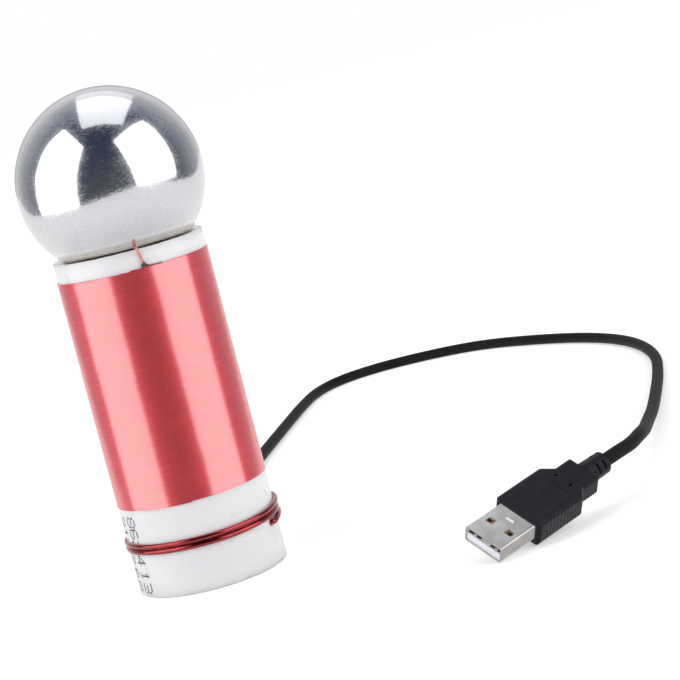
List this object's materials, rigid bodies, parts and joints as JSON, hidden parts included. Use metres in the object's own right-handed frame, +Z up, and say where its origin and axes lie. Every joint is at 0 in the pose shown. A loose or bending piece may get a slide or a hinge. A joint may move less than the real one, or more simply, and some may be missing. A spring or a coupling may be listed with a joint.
{
  "type": "desktop resonant transformer",
  "caption": "Resonant transformer for the desk: a wound plastic tube with a steel ball in its mouth, a thick primary round its foot and a USB lead.",
  "frame": {"origin": "centre of the tube's foot, on the surface that it stands on", "axes": "+Z up along the tube's axis to the ball; -Y is the front, and the lead leaves the tube towards +Y"},
  "size_m": [0.1907, 0.3248, 0.1368],
  "materials": {
    "tube_plastic": "white pipe plastic, drawn smooth, sawn ends",
    "ball_steel": "polished stainless steel with fine scratches",
    "fine_enamel": "red enamelled copper wire, glossy",
    "thick_enamel": "dark red enamelled copper wire, glossy",
    "disc_plastic": "white sheet plastic",
    "spacer_nylon": "natural nylon",
    "screw_steel": "zinc plated",
    "board_laminate": "green solder mask",
    "case_epoxy": "moulded epoxy",
    "tab_metal": "tinned plate",
    "tinned_wire": "tinned",
    "sink_aluminium": "extruded",
    "can_sleeve": "shrunk sleeve",
    "resistor_lacquer": "lacquer",
    "lamp_lens": "tinted clear resin",
    "solder": "bright",
    "tie_nylon": "nylon",
    "cable_jacket": "matt flexible plastic",
    "core_red": "insulation",
    "core_black": "insulation",
    "shell_nickel": "nickel plated sheet",
    "tongue_plastic": "moulded insulator",
    "contact_gold": "gold plated",
    "plug_moulding": "moulded flexible plastic"
  },
  "bodies": {
    "stand": {"tube": "tube_plastic", "secondary_winding": "fine_enamel", "secondary_top_lead": "fine_enamel", "secondary_bottom_lead": "fine_enamel", "primary_winding": "thick_enamel", "base_disc": "disc_plastic", "board_standoffs": "spacer_nylon", "board_screws": "screw_steel", "circuit_board": "board_laminate", "transistor_body": "case_epoxy", "transistor_tab": "tab_metal", "transistor_leads": "tinned_wire", "heat_sink": "sink_aluminium", "heat_sink_screw": "screw_steel", "electrolytic_capacitor": "can_sleeve", "capacitor_leads": "tinned_wire", "base_resistor": "resistor_lacquer", "resistor_leads": "tinned_wire", "indicator_led": "lamp_lens", "led_leads": "tinned_wire", "solder_joints": "solder", "cable_tie": "tie_nylon", "usb_cable": "cable_jacket", "power_wire_red": "core_red", "power_wire_black": "core_black", "plug_shell": "shell_nickel", "plug_tongue": "tongue_plastic", "plug_contacts": "contact_gold", "plug_overmould": "plug_moulding"},
    "ball": {"ball_terminal": "ball_steel"}
  },
  "joints": [
    {"name": "ball_lift", "type": "slide", "parent": "stand", "child": "ball", "axis": [0, 0, 1], "range_m": [0, 0.03]}
  ]
}
